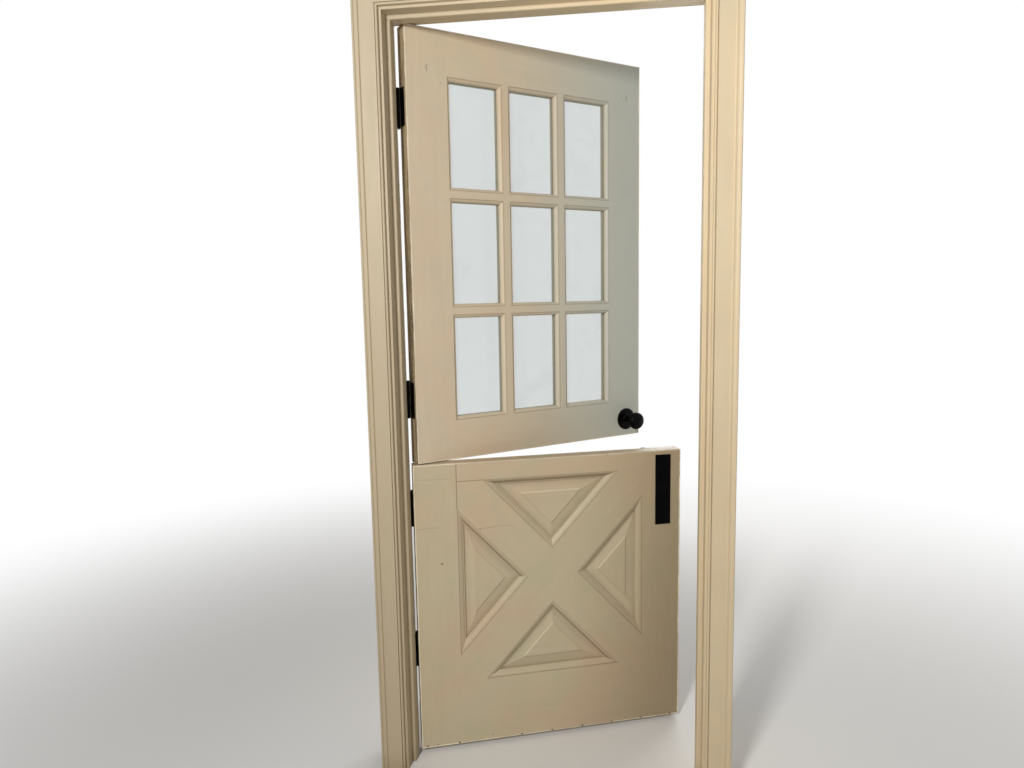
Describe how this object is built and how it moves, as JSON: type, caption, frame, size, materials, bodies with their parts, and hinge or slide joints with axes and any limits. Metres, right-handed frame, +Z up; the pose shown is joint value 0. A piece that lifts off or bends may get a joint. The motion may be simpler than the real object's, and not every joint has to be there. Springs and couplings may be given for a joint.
{
  "type": "dutch stable door",
  "caption": "Painted two-leaf stable door hung in its cased wooden frame: glazed upper leaf, cross-braced panelled lower leaf, butt hinges, knob latch and joining bolt.",
  "frame": {"origin": "middle of the foot of the jamb that carries the hinges, on the floor", "axes": "+X along the wall from the hinge jamb to the strike jamb, +Y through the doorway from the hall side into the room that the leaves open into, +Z up"},
  "size_m": [0.957, 0.6663, 2.123],
  "materials": {
    "frame_paint": "aged semi-gloss cream paint on wood",
    "leaf_paint": "aged semi-gloss off-white paint on wood",
    "clear_glass": "clear window glass",
    "black_hinge_iron": "black painted iron, dull",
    "black_knob_metal": "black, satin, worn brown at the rim",
    "black_plate_metal": "black, satin",
    "black_bolt_iron": "black painted iron, dull",
    "dull_latch_steel": "dull plated steel"
  },
  "bodies": {
    "frame": {"hinge_jamb": "frame_paint", "strike_jamb": "frame_paint", "head_jamb": "frame_paint", "hinge_stop": "frame_paint", "strike_stop": "frame_paint", "head_stop": "frame_paint", "hall_casing_hinge_side": "frame_paint", "hall_casing_strike_side": "frame_paint", "hall_casing_head": "frame_paint", "room_casing_hinge_side": "frame_paint", "room_casing_strike_side": "frame_paint", "room_casing_head": "frame_paint", "jamb_hinge_plate_1": "black_hinge_iron", "jamb_hinge_plate_2": "black_hinge_iron", "jamb_hinge_plate_3": "black_hinge_iron", "jamb_hinge_plate_4": "black_hinge_iron", "hinge_pins": "black_hinge_iron", "frame_screws": "black_hinge_iron", "strike_plate": "dull_latch_steel"},
    "upper_leaf": {"upper_hinge_stile": "leaf_paint", "upper_lock_stile": "leaf_paint", "upper_top_rail": "leaf_paint", "upper_bottom_rail": "leaf_paint", "upright_muntin_hinge_side": "leaf_paint", "upright_muntin_strike_side": "leaf_paint", "cross_muntin_lower": "leaf_paint", "cross_muntin_upper": "leaf_paint", "glass_top_row": "clear_glass", "glass_middle_row": "clear_glass", "glass_bottom_row": "clear_glass", "glazing_beads": "leaf_paint", "leaf_hinge_plate_1": "black_hinge_iron", "leaf_hinge_plate_2": "black_hinge_iron", "upper_leaf_screws": "black_hinge_iron", "latch_case": "dull_latch_steel", "hall_rosette": "black_knob_metal", "room_rosette": "black_knob_metal", "bolt_keeper": "black_bolt_iron"},
    "lower_leaf": {"lower_hinge_stile": "leaf_paint", "lower_lock_stile": "leaf_paint", "lower_top_rail": "leaf_paint", "lower_bottom_rail": "leaf_paint", "long_brace": "leaf_paint", "upper_half_brace": "leaf_paint", "lower_half_brace": "leaf_paint", "top_panel": "leaf_paint", "bottom_panel": "leaf_paint", "hinge_side_panel": "leaf_paint", "lock_side_panel": "leaf_paint", "leaf_hinge_plate_3": "black_hinge_iron", "leaf_hinge_plate_4": "black_hinge_iron", "lower_leaf_screws": "black_hinge_iron", "cover_plate": "black_plate_metal", "bolt_slide": "black_bolt_iron"},
    "knob_set": {"hall_knob": "black_knob_metal", "room_knob": "black_knob_metal", "knob_spindle": "black_knob_metal"},
    "latch_bolt": {"latch_bolt": "dull_latch_steel"},
    "joining_bolt": {"joining_bolt": "black_bolt_iron"}
  },
  "joints": [
    {"name": "upper_leaf_swing", "type": "hinge", "parent": "frame", "child": "upper_leaf", "pos_m": [0.011, 0.065, 1.44], "axis": [0, 0, 1], "range_deg": [-38.4, 111.6]},
    {"name": "lower_leaf_swing", "type": "hinge", "parent": "frame", "child": "lower_leaf", "pos_m": [0.011, 0.065, 0.513], "axis": [0, 0, 1], "range_deg": [-19.1, 130.9]},
    {"name": "knob_turn", "type": "hinge", "parent": "upper_leaf", "child": "knob_set", "pos_m": [0.61686, 0.50884, 0.92], "axis": [-0.6211, 0.7837, 0], "range_deg": [0, 50], "stiffness_Nm_per_rad": 0.6, "springref_deg": -17.19},
    {"name": "latch_slide", "type": "slide", "parent": "upper_leaf", "child": "latch_bolt", "axis": [-0.7837, -0.6211, 0], "range_m": [0, 0.011]},
    {"name": "joining_bolt_slide", "type": "slide", "parent": "lower_leaf", "child": "joining_bolt", "axis": [0, 0, 1], "range_m": [0, 0.022]}
  ],
  "couplings": [
    {"joint": "latch_slide", "follows": "knob_turn", "m_per_rad": 0.0126}
  ]
}
